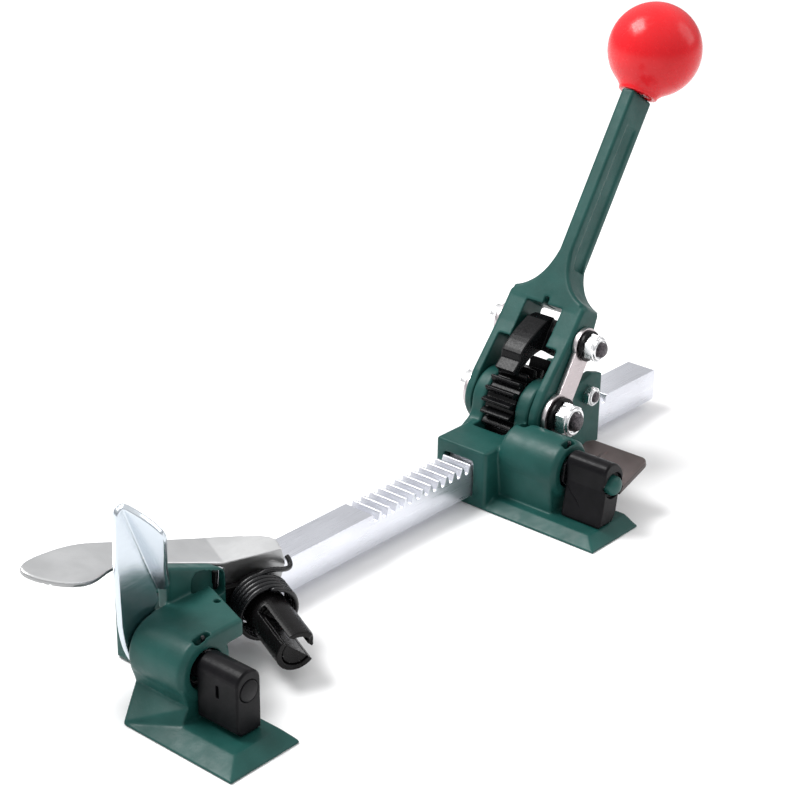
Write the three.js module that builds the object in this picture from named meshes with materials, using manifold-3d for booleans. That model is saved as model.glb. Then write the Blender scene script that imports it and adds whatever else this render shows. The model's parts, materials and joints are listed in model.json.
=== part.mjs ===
// Rack-bar tensioner for steel strapping. Millimetres, +Z up. The bar lies along X, the strap side is -Y,
// z = 0 is the bench and y = 0 is the middle of the bar. Every dimension below counts x from the shaft of
// the fixed gripper; the finished part is then moved so that its origin is under the bar's socket.
import * as THREE from "three";
import { ConvexGeometry } from "three/addons/geometries/ConvexGeometry.js";
import { mergeVertices } from "three/addons/utils/BufferGeometryUtils.js";
import Module from "manifold-3d";

const wasm = await Module();
wasm.setup();

// ---------------------------------------------------------------- driving dimensions
const DEG = Math.PI / 180;
const FIT = 0.15; // running clearance on a radius or a face

const BAR = { width: 18, left: 10, right: 394, bottom: 5.4, chamfer: 0.8 };
BAR.top = BAR.bottom + BAR.width;

const GEAR = { module: 2, teeth: 18, width: 18.6, x: 277.3, phase: 6.3 * DEG, backlash: 0.16 };
GEAR.pitch = Math.PI * GEAR.module;
GEAR.radius = (GEAR.module * GEAR.teeth) / 2;
GEAR.tip = GEAR.radius + GEAR.module;
GEAR.root = GEAR.radius - 1.25 * GEAR.module;
GEAR.z = BAR.top - GEAR.module + GEAR.radius;
const RACK = { gapsLeft: 19, gapsRight: 11, depth: 4.5 };

const ORIGIN_X = 15; // from the fixed gripper's shaft to the part's origin
const SHAFT_Z = 26.3; // height of both gripper shafts
const GRIPPER = { half: 6.9, top: 9.6, foot: 5.3, pin: 5 };
const BARREL = 15; // radius of the boss round each gripper shaft
const FOOT = { near: -53, far: -19.6, soleNear: -91.5, soleFar: -27.7, soleLeft: -25, soleRight: 15.5 };
const SOLE = 5; // thickness of both soles
const WAIST = { x: 10.6, z: 12 }; // the narrowest place under the foot's boss
const SOCKET = { left: 9, right: 43, half: 15, top: 31 };
const LOCK_PIN = { x: 25, radius: 3 };
const LUG = { bottom: SHAFT_Z + 6, top: SHAFT_Z + BARREL, near: -53, holeX: 24.6, holeY: -34.4 };
const HOUSING = { foot: 14.5, left: 8.9, right: 43, near: -21.5, far: -13.9, top: 58.3, fall: 0.402 };
HOUSING.topAt = (x) => HOUSING.top - HOUSING.fall * (x - HOUSING.left);
const SPRING_ROOM = { radius: 9.2, depth: 7.2, slit: 3.2 }; // for the return spring, inside a boss
const THUMB = { near: -19.2, sheet: 3.2, bend: 67 * DEG, creaseTop: [-12.9, 94.4], creaseFoot: [4.2, 49.3] };

const CARRIAGE = { left: 228.8, right: 332, near: -18, far: 15, top: 31.8, tongueRight: 267.5, tongueNear: -86 };
const CARRIAGE_SHAFT_X = 253.2;
const EAR = { inner: 9.8, outer: 18.4, radius: 16, rearOuter: 15 };
const HOLDING = { x: 320, z: 34, bolt: 3 };
HOLDING.wallFace = EAR.rearOuter + 0.1;
const BOSS_END = { near: -53.5, far: -17 };
const RELEASE = { sheet: 3.6, hubSheet: 1.6, slope: 17.9 * DEG, top: -8.44, near: -77.4, far: -40, reach: 32.6 };
const BUSH = { outer: 7.2, inner: 5 + FIT };

const HANDLE_LEAN = 57.4 * DEG; // angle of the handle above +X
const FORWARD_SWING = 80 * DEG; // how far the handle can swing from there towards -X
const HEAD = { inner: 18.7, outer: 24, slot: 11.5, slotFoot: 31, top: 57.5, pawlPin: 39.5 };
const STEM = { half: 3.9, depth: 10.3, end: 173.5, stud: 3, panelDepth: 0.9, panelEnd: 156 };
const BALL = { centre: 199.6, radius: 25, lip: 10.6 };

// The cutter's axis leans out by a yaw and a dip. Its own frame has y along the axis, towards the bar.
const CUTTER = { x: 62.15, y: -18.1, z: 22.7, yaw: -20 * DEG, dip: 8 * DEG, length: 45, outer: 10, bore: 7.4 };
CUTTER.split = -40 * DEG; // slant of the flat on the cutting core
const PAWL_SPRING = { core: 5, radius: 6.2, wire: 0.75, near: 7.6, far: 10.4, turns: 2, leg: 6 };
// The shoulder on the drive pawl's hub fills the slot beside the toe and clears the holding pawl.
const PAWL_SHOULDER = { left: 29, right: 46.5, near: -11, far: -6.6, back: -5, front: 7 };
const BRACKET = { left: -24.3, near: -3.6, far: -0.5, half: 9 };
const BRACKET_PIN = { x: -20.5, y: -2.5, radius: 1.6 };
const LEVER = { sheet: 2.5, hub: 13, top: 21, bend: -15.2, rise: 15.5 * DEG, width: 20.8 };

// ---------------------------------------------------------------- solids
// A closed three.js geometry as a manifold-3d solid.
function solid(geometry) {
  const bare = geometry.clone();
  bare.deleteAttribute("normal");
  bare.deleteAttribute("uv");
  const merged = mergeVertices(bare, 1e-4);
  const vertProperties = new Float32Array(merged.attributes.position.array);
  const triVerts = new Uint32Array(merged.index.array);
  return new wasm.Manifold(new wasm.Mesh({ numProp: 3, vertProperties, triVerts }));
}

// A manifold-3d solid back as a flat-shaded geometry.
function geometryOf(body) {
  const mesh = body.getMesh();
  const geometry = new THREE.BufferGeometry();
  geometry.setAttribute("position", new THREE.BufferAttribute(new Float32Array(mesh.vertProperties), 3));
  geometry.setIndex(new THREE.BufferAttribute(new Uint32Array(mesh.triVerts), 1));
  const flat = geometry.toNonIndexed();
  flat.computeVertexNormals();
  return flat;
}

const join = (...bodies) => bodies.reduce((all, body) => all.add(body));
const cut = (body, ...tools) => tools.reduce((left, tool) => left.subtract(tool), body);

function outline(points) {
  return new THREE.Shape(points.map(([u, v]) => new THREE.Vector2(u, v)));
}

function circle(u, v, radius) {
  const path = new THREE.Shape();
  path.absarc(u, v, radius, 0, 2 * Math.PI, false);
  return path;
}

function extrude(shape, depth, bevel, segments) {
  const options = { depth: depth - 2 * bevel, bevelEnabled: bevel > 0, curveSegments: segments, steps: 1 };
  Object.assign(options, { bevelThickness: bevel, bevelSize: bevel, bevelOffset: -bevel, bevelSegments: 1 });
  return new THREE.ExtrudeGeometry(shape, options).translate(0, 0, bevel);
}

// An outline drawn in (x, z), from y0 up to y1.
function alongY(shape, y0, y1, bevel = 0, segments = 12) {
  return solid(extrude(shape, y1 - y0, bevel, segments).rotateX(Math.PI / 2).translate(0, y1, 0));
}

// An outline drawn in (x, y), from z0 up to z1.
function alongZ(shape, z0, z1, bevel = 0, segments = 12) {
  return solid(extrude(shape, z1 - z0, bevel, segments).translate(0, 0, z0));
}

// An outline drawn in (y, z), from x0 up to x1.
function alongX(shape, x0, x1, bevel = 0, segments = 12) {
  const turn = new THREE.Matrix4().makeBasis(
    new THREE.Vector3(0, 1, 0),
    new THREE.Vector3(0, 0, 1),
    new THREE.Vector3(1, 0, 0),
  );
  return solid(extrude(shape, x1 - x0, bevel, segments).applyMatrix4(turn).translate(x0, 0, 0));
}

function box(x0, x1, y0, y1, z0, z1) {
  const geometry = new THREE.BoxGeometry(x1 - x0, y1 - y0, z1 - z0);
  return solid(geometry.translate((x0 + x1) / 2, (y0 + y1) / 2, (z0 + z1) / 2));
}

function rodY(x, z, radius, y0, y1, segments = 32) {
  const geometry = new THREE.CylinderGeometry(radius, radius, y1 - y0, segments);
  return solid(geometry.translate(x, (y0 + y1) / 2, z));
}

function rodZ(x, y, radius, z0, z1, segments = 24) {
  const geometry = new THREE.CylinderGeometry(radius, radius, z1 - z0, segments).rotateX(Math.PI / 2);
  return solid(geometry.translate(x, y, (z0 + z1) / 2));
}

function rodX(x0, x1, y, z, radius, segments = 6) {
  const geometry = new THREE.CylinderGeometry(radius, radius, x1 - x0, segments).rotateZ(Math.PI / 2);
  return solid(geometry.translate((x0 + x1) / 2, y, z));
}

const tubeY = (x, z, outer, inner, y0, y1, segments = 32) =>
  cut(rodY(x, z, outer, y0, y1, segments), rodY(x, z, inner, y0 - 1, y1 + 1, segments));

function hull(points) {
  return solid(new ConvexGeometry(points.map(([x, y, z]) => new THREE.Vector3(x, y, z))));
}

// Lathe a (radius, height) profile round Z; it starts and ends on the axis.
function latheZ(profile, segments = 48) {
  const points = profile.map(([r, h]) => new THREE.Vector2(r, h));
  return solid(new THREE.LatheGeometry(points, segments).rotateX(Math.PI / 2));
}

// Hexagon prism along Y with its corners turned down on one face, for nuts and bolt heads.
function hexY(x, z, acrossFlats, y0, y1, turnedEnd) {
  const corner = acrossFlats / Math.sqrt(3);
  const middle = (y0 + y1) / 2;
  const prism = solid(new THREE.CylinderGeometry(corner, corner, y1 - y0, 6).translate(x, middle, z));
  const narrow = acrossFlats / 2 + 0.2;
  const wide = narrow + 1.8 * (y1 - y0);
  const radii = turnedEnd < 0 ? [wide, narrow] : [narrow, wide];
  const cone = new THREE.CylinderGeometry(...radii, y1 - y0, 30).translate(x, middle, z);
  return prism.intersect(solid(cone));
}

// A round wire along a curve.
function wire(curve, radius, steps, sides = 6) {
  const section = new THREE.Shape();
  for (let i = 0; i < sides; i += 1) {
    const angle = (i / sides) * 2 * Math.PI;
    const place = [radius * Math.cos(angle), radius * Math.sin(angle)];
    if (i === 0) section.moveTo(...place);
    else section.lineTo(...place);
  }
  return solid(new THREE.ExtrudeGeometry(section, { steps, extrudePath: curve, bevelEnabled: false }));
}

// A coil round the Y axis of its own frame, from y0 to y1.
class CoilY extends THREE.Curve {
  constructor(radius, y0, y1, turns, start) {
    super();
    Object.assign(this, { radius, y0, y1, turns, start });
  }
  getPoint(t, target = new THREE.Vector3()) {
    const angle = this.start + t * this.turns * 2 * Math.PI;
    const y = this.y0 + (this.y1 - this.y0) * t;
    return target.set(this.radius * Math.cos(angle), y, this.radius * Math.sin(angle));
  }
}

// ---------------------------------------------------------------- finishes
const paint = { color: 0x2f6b60, roughness: 0.45, metalness: 0.1 };
const blackened = { color: 0x1c1c1f, roughness: 0.5, metalness: 0.5 };
const gripSteel = { color: 0x2b282b, roughness: 0.55, metalness: 0.35 };
const zinc = { color: 0xd8dbe2, roughness: 0.28, metalness: 0.95 };
const bright = { color: 0xe6e8ec, roughness: 0.22, metalness: 0.95 };
const redPlastic = { color: 0xd8232b, roughness: 0.35, metalness: 0 };
const springSteel = { color: 0x202022, roughness: 0.4, metalness: 0.7 };

const tool = new THREE.Group();
tool.position.x = -ORIGIN_X;

function place(parent, name, body, finish) {
  const mesh = new THREE.Mesh(geometryOf(body), new THREE.MeshStandardMaterial(finish));
  mesh.name = name;
  parent.add(mesh);
  return mesh;
}

// ---------------------------------------------------------------- rack bar
// One gap between two rack teeth, as (x, z) points from its left edge to its right edge.
function rackGap(middle) {
  const slope = Math.tan(20 * DEG);
  const atPitch = GEAR.pitch / 4 + GEAR.backlash;
  const atTop = atPitch + GEAR.module * slope;
  const atFoot = atPitch - (RACK.depth - GEAR.module) * slope;
  const foot = BAR.top - RACK.depth;
  return [
    [middle - atTop, BAR.top],
    [middle - atFoot, foot],
    [middle + atFoot, foot],
    [middle + atTop, BAR.top],
  ];
}

function rackBar() {
  const { left, right, bottom, top, width, chamfer } = BAR;
  const points = [
    [left + chamfer, top],
    [left, top - chamfer],
    [left, bottom + chamfer],
    [left + chamfer, bottom],
    [right - chamfer, bottom],
    [right, bottom + chamfer],
    [right, top - chamfer],
    [right - chamfer, top],
  ];
  const underGear = GEAR.x - GEAR.radius * GEAR.phase;
  for (let k = RACK.gapsRight; k >= -RACK.gapsLeft; k -= 1) {
    points.push(...rackGap(underGear + k * GEAR.pitch).reverse());
  }
  const bar = alongY(outline(points), -width / 2, width / 2);
  return cut(bar, rodZ(LOCK_PIN.x, 0, LOCK_PIN.radius + 0.05, bottom - 1, top + 1));
}

// ---------------------------------------------------------------- soles and bosses shared by both castings
// A sole with a bevelled rim: full size at the bench, drawn in at the top on its three free sides.
function sole(left, right, near, far, inLeft, inRight, inNear) {
  return hull([
    [left, near, 0],
    [right, near, 0],
    [right, far, 0],
    [left, far, 0],
    [left, near, 0.8],
    [right, near, 0.8],
    [right, far, 0.8],
    [left, far, 0.8],
    [left + inLeft, near + inNear, SOLE],
    [right - inRight, near + inNear, SOLE],
    [right - inRight, far, SOLE],
    [left + inLeft, far, SOLE],
  ]);
}

// The boss round a gripper shaft: bore, counterbore for the return spring, and the slit for its leg.
function bossSolid(x, near, far) {
  return alongY(circle(x, SHAFT_Z, BARREL), near, far, 2.2, 24);
}

function bossCuts(x, near, far) {
  const slitNear = near + 1;
  return [
    rodY(x, SHAFT_Z, GRIPPER.pin + FIT, near - 1, far + 1),
    rodY(x, SHAFT_Z, SPRING_ROOM.radius, near - 1, near + SPRING_ROOM.depth),
    box(x - 4.5, x + 4, slitNear, slitNear + SPRING_ROOM.slit, SHAFT_Z, SHAFT_Z + BARREL + 4),
  ];
}

// ---------------------------------------------------------------- fixed foot
function footNeck() {
  const neck = new THREE.Shape();
  neck.moveTo(-WAIST.x - 0.6, 1);
  neck.lineTo(-WAIST.x, WAIST.z);
  neck.lineTo(-13.5, 21);
  neck.lineTo(13.5, 21);
  neck.lineTo(12, 13);
  neck.quadraticCurveTo(12.6, 6, 14, 4);
  neck.lineTo(14, 1);
  return alongY(neck, FOOT.near + 0.6, FOOT.far - 0.6, 0, 6);
}

// The flank of the neck: it flares down to the edge of the sole at the back and meets its slope in front.
function footFlank() {
  const far = FOOT.far - 0.6;
  const near = FOOT.near + 0.6;
  return hull([
    [FOOT.soleLeft + 0.4, FOOT.soleFar, 1.6],
    [FOOT.soleLeft + 0.2, FOOT.soleFar, 0],
    [FOOT.soleLeft + 10.5, near, SOLE - 0.3],
    [-WAIST.x, near, WAIST.z],
    [-WAIST.x, far, WAIST.z],
    [-WAIST.x + 4, near, WAIST.z],
    [-WAIST.x + 4, far, WAIST.z],
    [-WAIST.x, far, 0],
    [-WAIST.x, near, 0],
  ]);
}

function footLug() {
  const plan = outline([
    [0, LUG.near],
    [21.4, LUG.near],
    [30.6, -27.6],
    [33, FOOT.far],
    [0, FOOT.far],
  ]);
  return alongZ(plan, LUG.bottom, LUG.top, 1.2);
}

// Wall over the bar, beside the thumb lever: it stands on the socket and its top falls towards the cutter.
function footHousing() {
  const { foot, left, right, near, far, top, topAt } = HOUSING;
  const corner = 4;
  const wall = new THREE.Shape();
  wall.moveTo(foot, 3);
  wall.lineTo(right, 3);
  wall.lineTo(right, topAt(right) - corner);
  wall.quadraticCurveTo(right, topAt(right), right - corner, topAt(right - corner));
  wall.lineTo(left, top);
  wall.lineTo(left, LUG.top - 4);
  wall.lineTo(foot, LUG.top - 8);
  return alongY(wall, near, far, 1);
}

// The recess in the wall over the lug, arched on its left and open towards the cutter.
function housingRecess() {
  const { near, topAt } = HOUSING;
  const left = 21.9;
  const right = 41.5;
  const rim = 1.4;
  const arch = new THREE.Shape();
  arch.moveTo(left, 33);
  arch.lineTo(right, 33);
  arch.lineTo(right, topAt(right) - rim - 1);
  arch.lineTo(right - 1, topAt(right - 1) - rim);
  arch.lineTo(left + 6, topAt(left + 6) - rim);
  arch.quadraticCurveTo(left, topAt(left) - rim - 1, left, 43);
  return alongY(arch, near - 1, near + 5.2);
}

const cutterTurn = new THREE.Matrix4()
  .makeTranslation(CUTTER.x, CUTTER.y, CUTTER.z)
  .multiply(new THREE.Matrix4().makeRotationFromEuler(new THREE.Euler(CUTTER.dip, 0, CUTTER.yaw, "ZXY")));

// Move a solid from the cutter's own frame into the part's frame.
const fromCutter = (body) => body.transform(cutterTurn.elements);

function fixedFoot() {
  const socket = alongX(
    outline([
      [-SOCKET.half, 0],
      [SOCKET.half, 0],
      [SOCKET.half, SOCKET.top],
      [-SOCKET.half, SOCKET.top],
    ]),
    SOCKET.left,
    SOCKET.right,
    1.2,
  );
  const web = box(0, 14, FOOT.far - 2, -SOCKET.half + 2, 0.5, 5);
  const body = join(
    sole(FOOT.soleLeft, FOOT.soleRight, FOOT.soleNear, FOOT.soleFar, 10.5, 3.6, 8.3),
    footNeck(),
    footFlank(),
    bossSolid(0, FOOT.near, FOOT.far),
    footLug(),
    box(HOUSING.foot, 31, FOOT.far - 6, -SOCKET.half + 3, 2, SOCKET.top),
    box(4, 16, -30, FOOT.far - 0.4, 2, 24),
    web,
    socket,
    footHousing(),
  );
  const barHole = box(SOCKET.left - 1, SOCKET.right + 1, -9 - FIT, 9 + FIT, BAR.bottom - FIT, BAR.top + FIT);
  const bracketPocket = box(-27, -9, BRACKET.near - 0.3, BRACKET.far + 0.3, -BRACKET.half - 0.3, BRACKET.half + 0.3);
  const bracketPin = rodZ(BRACKET_PIN.x, BRACKET_PIN.y, BRACKET_PIN.radius + FIT, -60, 60);
  const sweep = rodY(0, 0, 26, BRACKET.far - 0.2, 30, 48);
  return cut(
    body,
    ...bossCuts(0, FOOT.near, FOOT.far),
    barHole,
    housingRecess(),
    rodZ(LUG.holeX, LUG.holeY, 1.6, LUG.bottom - 1, LUG.top + 1),
    rodZ(LOCK_PIN.x, 0, LOCK_PIN.radius + 0.05, -1, SOCKET.top + 1),
    fromCutter(bracketPocket),
    fromCutter(bracketPin),
    fromCutter(rodY(0, 0, 15.6, -60, BRACKET.near)),
    fromCutter(sweep),
  );
}

// ---------------------------------------------------------------- grippers, their shafts and levers
// The toothed foot of a gripper, from left to right, as (x, z) points.
function teethUnder(left, right, count, heightAt) {
  const step = (right - left) / count;
  const points = [[left, heightAt(left)]];
  for (let i = 0; i < count; i += 1) {
    const start = left + i * step;
    points.push([start + 0.5 * step, heightAt(start + 0.5 * step) + 0.9]);
    points.push([start + step, heightAt(start + step)]);
  }
  return points;
}

// Upright, with its foot rounded off on the left, which swings down past the sole.
function fixedGripper() {
  const { half, top, foot, pin } = GRIPPER;
  const z = SHAFT_Z;
  const reach = z - SOLE - 0.25;
  const footAt = (dx) => (dx < 0 ? Math.max(foot, z - Math.sqrt(reach * reach - dx * dx)) : foot);
  const jaw = new THREE.Shape();
  jaw.moveTo(-half, foot + 3);
  teethUnder(-half + 2.8, half, 5, footAt).forEach((point) => jaw.lineTo(...point));
  jaw.lineTo(half, z + 4);
  jaw.quadraticCurveTo(half - 0.6, z + top - 1.2, 0, z + top);
  jaw.quadraticCurveTo(-half + 1, z + top - 0.4, -half, z + 4);
  const body = alongY(jaw, -77.5, FOOT.near - 0.8, 0.7, 8);
  const slot = box(-half - 1, -half + 1.6, -66.8, -65.2, z - 5.5, z + 0.5);
  return cut(body, slot, rodY(0, z, pin + FIT, -80, -50));
}

// Leaning with its toe to the left, with a groove across its left side and a recess for the pin's head.
function carriageGripper() {
  const x = CARRIAGE_SHAFT_X;
  const z = SHAFT_Z;
  const near = -79.5;
  const jaw = new THREE.Shape();
  jaw.moveTo(x - 8.5, 14.7);
  teethUnder(-10.1, 0.6, 4, () => GRIPPER.foot).forEach(([dx, height]) => jaw.lineTo(x + dx, height));
  jaw.lineTo(x + 3.9, 10.6);
  jaw.lineTo(x + 5.3, 20.1);
  jaw.lineTo(x + 7.3, 24.3);
  jaw.quadraticCurveTo(x + 9.8, 29.6, x + 6.8, z + 7);
  jaw.quadraticCurveTo(x + 3.8, z + 11.4, x - 1, z + 12.3);
  jaw.quadraticCurveTo(x - 6.6, z + 12.7, x - 7.5, z + 7.8);
  jaw.lineTo(x - 7.1, 24.7);
  const body = alongY(jaw, near, BOSS_END.near - 2, 0.7, 6);
  const groove = hull([
    [x - 12, -54, 25.6],
    [x - 12, -54, 23.2],
    [x - 12, -66, 14.2],
    [x - 12, -66, 12],
    [x - 5.2, -54, 24.4],
    [x - 6.2, -66, 13.1],
  ]);
  return cut(
    body,
    groove,
    rodY(x, z, GRIPPER.pin + FIT, near - 1, -50),
    rodY(x, z, GRIPPER.pin + 2, near - 1, near + 2),
  );
}

// Shaft with a flat-turned or a domed near end.
function gripperShaft(x, near, far, dome) {
  const shaft = rodY(x, SHAFT_Z, GRIPPER.pin, near, far);
  if (dome === 0) return shaft;
  const cap = new THREE.SphereGeometry(GRIPPER.pin, 32, 16);
  return join(shaft, solid(cap.scale(1, dome / GRIPPER.pin, 1).translate(x, near, SHAFT_Z)));
}

// The thumb lever's wing leaves its flat plate along a slanting crease. It is drawn flat, as (along the
// crease from its top, away from the crease), and then turned about the crease towards the strap side.
function thumbWing() {
  const { near, sheet, bend, creaseTop, creaseFoot } = THUMB;
  const top = new THREE.Vector3(creaseTop[0], near, creaseTop[1]);
  const foot = new THREE.Vector3(creaseFoot[0], near, creaseFoot[1]);
  const along = foot.clone().sub(top).normalize();
  const length = foot.distanceTo(top);
  const flatOut = new THREE.Vector3(-along.z, 0, along.x);
  const out = (angle) => flatOut.clone().multiplyScalar(Math.cos(angle)).add(new THREE.Vector3(0, -Math.sin(angle), 0));
  const behind = (angle) => new THREE.Vector3().crossVectors(out(angle), along);
  const flat = new THREE.Shape();
  flat.moveTo(0, 0);
  flat.lineTo(0.7, 1.8);
  flat.quadraticCurveTo(7, 9.4, 13.5, 12.6);
  flat.quadraticCurveTo(16.2, 14, 19.8, 13.2);
  flat.lineTo(36, 8.2);
  flat.lineTo(length - 1.6, 5.9);
  flat.lineTo(length, 4.4);
  flat.lineTo(length, 0);
  const turned = new THREE.Matrix4()
    .makeBasis(along, out(bend), behind(bend).negate())
    .setPosition(top);
  const wing = solid(extrude(flat, sheet, 0.4, 6).translate(0, 0, -sheet).applyMatrix4(turned));
  const corner = [top.toArray(), foot.toArray()];
  const steps = 5;
  for (let i = 0; i <= steps; i += 1) {
    const offset = behind((bend * i) / steps).multiplyScalar(sheet);
    corner.push(top.clone().add(offset).toArray(), foot.clone().add(offset).toArray());
  }
  return join(wing, hull(corner));
}

function thumbLever() {
  const z = SHAFT_Z;
  const { near, sheet, creaseTop, creaseFoot } = THUMB;
  const plate = new THREE.Shape();
  plate.moveTo(-9, z - 8);
  plate.quadraticCurveTo(-14.6, z - 1, -16, z + 14);
  plate.lineTo(-16.8, z + 44);
  plate.lineTo(-15.8, z + 62);
  plate.quadraticCurveTo(-15.8, creaseTop[1] - 0.2, ...creaseTop);
  plate.lineTo(...creaseFoot);
  plate.lineTo(5.9, z + 17.8);
  plate.lineTo(3.2, z + 14.6);
  plate.absarc(0, z, 12, 62 * DEG, -138 * DEG, true);
  const body = join(alongY(plate, near, near + sheet, 0.5, 10), thumbWing());
  return cut(body, rodY(0, z, GRIPPER.pin + FIT, -25, -10));
}

// Torsion spring in the boss, with one leg standing up in the slit.
function gripperSpring(x, near) {
  const turns = 2;
  const radius = 7.6;
  const thick = 0.9;
  const first = near + 2.2;
  const coil = wire(new CoilY(radius, first, first + 3.6, turns, Math.PI / 2), thick, 16 * turns);
  const leg = rodZ(0, first, thick, radius - 0.9, BARREL + 0.2, 6);
  return join(coil, leg).translate([x, 0, SHAFT_Z]);
}

// Release lever, drawn level and then tilted about the shaft: a thin hub plate and a thick thumb plate.
function releaseLever() {
  const { sheet, hubSheet, slope, top, near, far, reach } = RELEASE;
  const hubFar = BOSS_END.near - 0.2;
  const hubNear = hubFar - hubSheet;
  const inner = 5.7;
  const outsideBoss = BARREL + 2;
  const hubPlate = outline([
    [-4, -9.6],
    [inner, top - sheet],
    [reach - 4, top - sheet],
    [reach - 4, top],
    [18, top + 0.8],
    [9.6, 3],
    [3, 9.6],
    [-5.6, 8.2],
    [-9.6, 0],
  ]);
  const wingPlan = new THREE.Shape();
  wingPlan.moveTo(inner, hubFar);
  wingPlan.lineTo(inner, near);
  wingPlan.lineTo(reach - 4, near);
  wingPlan.absarc(reach - 4, near + 4, 4, -Math.PI / 2, 0, false);
  wingPlan.lineTo(reach, far - 3);
  wingPlan.lineTo(reach - 3, far);
  wingPlan.lineTo(outsideBoss, far);
  wingPlan.lineTo(outsideBoss, hubFar);
  const wing = alongZ(wingPlan, top - sheet, top, 0.5, 8);
  const tilt = new THREE.Matrix4()
    .makeTranslation(CARRIAGE_SHAFT_X, 0, SHAFT_Z)
    .multiply(new THREE.Matrix4().makeRotationY(-slope));
  const level = cut(join(alongY(hubPlate, hubNear, hubFar), wing), rodY(0, 0, GRIPPER.pin + FIT, -60, -50));
  return level.transform(tilt.elements);
}

// ---------------------------------------------------------------- carriage
function carriageBlock() {
  const { left, right, near, far, top, tongueRight } = CARRIAGE;
  const side = outline([
    [left, 0],
    [tongueRight, 0],
    [tongueRight + 3, 2.8],
    [right, 2.8],
    [right, 30],
    [right - 4, top],
    [left, top],
  ]);
  return alongY(side, near, far, 1.4);
}

// The two walls beside the gear: round ears over the gear bolt, running back to the holding pawl.
function carriageWall(y0, y1) {
  const wall = new THREE.Shape();
  wall.moveTo(GEAR.x - 26, 28);
  wall.lineTo(GEAR.x - 19, CARRIAGE.top);
  wall.quadraticCurveTo(GEAR.x - 16.2, 34, GEAR.x - EAR.radius, GEAR.z);
  wall.absarc(GEAR.x, GEAR.z, EAR.radius, Math.PI, 0.3, true);
  wall.lineTo(GEAR.x + 27, 41);
  wall.lineTo(CARRIAGE.right - 9, 46);
  wall.lineTo(CARRIAGE.right, 43);
  wall.lineTo(CARRIAGE.right, 6);
  wall.lineTo(GEAR.x - 26, 6);
  return alongY(wall, y0, y1, 1, 16);
}

function carriageTongue() {
  const { left, tongueRight, tongueNear } = CARRIAGE;
  return sole(left, tongueRight, tongueNear, -12, 6.8, 0.6, 7.6);
}

function carriageCasting() {
  const x = CARRIAGE_SHAFT_X;
  const webSide = outline([
    [x - 12.2, 4],
    [x + 9, 4],
    [x + 12.5, SHAFT_Z - 6],
    [x, SHAFT_Z],
    [x - 14.9, SHAFT_Z],
  ]);
  const web = alongY(webSide, BOSS_END.near + 2.1, BOSS_END.far, 0.8);
  const body = join(
    carriageBlock(),
    carriageTongue(),
    bossSolid(x, BOSS_END.near, BOSS_END.far),
    web,
    carriageWall(-EAR.outer, -EAR.inner),
    carriageWall(EAR.inner, EAR.outer),
  );
  const slot = box(GEAR.x - 24.5, GEAR.x + 24.5, -EAR.inner, EAR.inner, BAR.top - 3, 70);
  const rearSlot = box(GEAR.x + 20, HOLDING.x + 6.5, -EAR.inner, EAR.inner, BAR.top + 2, 70);
  const barHole = box(CARRIAGE.left - 1, CARRIAGE.right + 1, -9.4, 9.4, BAR.bottom - 0.3, BAR.top + 1.6);
  const rearNear = box(GEAR.x + 24, CARRIAGE.right + 1, -30, -EAR.rearOuter, -1, 70);
  const rearFar = box(GEAR.x + 24, CARRIAGE.right + 1, EAR.rearOuter, 30, -1, 70);
  return cut(
    body,
    slot,
    rearSlot,
    barHole,
    rearNear,
    rearFar,
    handleRoom(),
    rodY(GEAR.x, GEAR.z, 5 + FIT, -30, 30),
    rodY(HOLDING.x, HOLDING.z, HOLDING.bolt + FIT, -30, 30),
    ...bossCuts(x, BOSS_END.near, BOSS_END.far - 3),
  );
}

// The room that the handle's near cheek and link sweep beside the boss, up to the forward limit.
function handleRoom() {
  const cheekRoom = [-HEAD.outer - 0.4, -EAR.outer - 0.1];
  const linkRoom = [-27.5, -HEAD.outer - 0.3];
  const slab = join(
    box(0, 60, ...cheekRoom, -16.1, 16.1),
    rodY(0, 0, 16.1, ...cheekRoom, 40),
    rodY(0, 0, 12.9, ...linkRoom, 40),
  );
  const turn = new THREE.Matrix4()
    .makeTranslation(GEAR.x, 0, GEAR.z)
    .multiply(new THREE.Matrix4().makeRotationY(-HANDLE_LEAN - FORWARD_SWING));
  return slab.transform(turn.elements);
}

// ---------------------------------------------------------------- gear
// Half angle of one involute tooth at a radius.
function toothHalfAngle(radius) {
  const pressure = 20 * DEG;
  const base = GEAR.radius * Math.cos(pressure);
  const involute = (angle) => Math.tan(angle) - angle;
  const atPitch = Math.PI / (2 * GEAR.teeth) - GEAR.backlash / GEAR.radius;
  if (radius <= base) return atPitch + involute(pressure);
  return atPitch + involute(pressure) - involute(Math.acos(base / radius));
}

function driveGear() {
  const profile = [];
  const radii = [GEAR.root, GEAR.radius - 1, GEAR.radius, GEAR.radius + 1, GEAR.tip];
  for (let k = 0; k < GEAR.teeth; k += 1) {
    const middle = -Math.PI / 2 - GEAR.phase + (k * 2 * Math.PI) / GEAR.teeth;
    const at = (radius, side) => {
      const angle = middle + side * toothHalfAngle(radius);
      return [GEAR.x + radius * Math.cos(angle), GEAR.z + radius * Math.sin(angle)];
    };
    profile.push(...radii.map((radius) => at(radius, -1)));
    profile.push(...radii.toReversed().map((radius) => at(radius, 1)));
  }
  const body = alongY(outline(profile), -GEAR.width / 2, GEAR.width / 2);
  return cut(body, rodY(GEAR.x, GEAR.z, BUSH.outer + FIT, -20, 20));
}

// ---------------------------------------------------------------- handle, drawn upright and then leant
// In the handle's own frame the gear bolt is the origin, x runs along the handle and z is its front.
const lean = new THREE.Matrix4()
  .makeTranslation(GEAR.x, 0, GEAR.z)
  .multiply(new THREE.Matrix4().makeRotationY(-HANDLE_LEAN));
const leant = (body) => body.transform(lean.elements);

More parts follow.
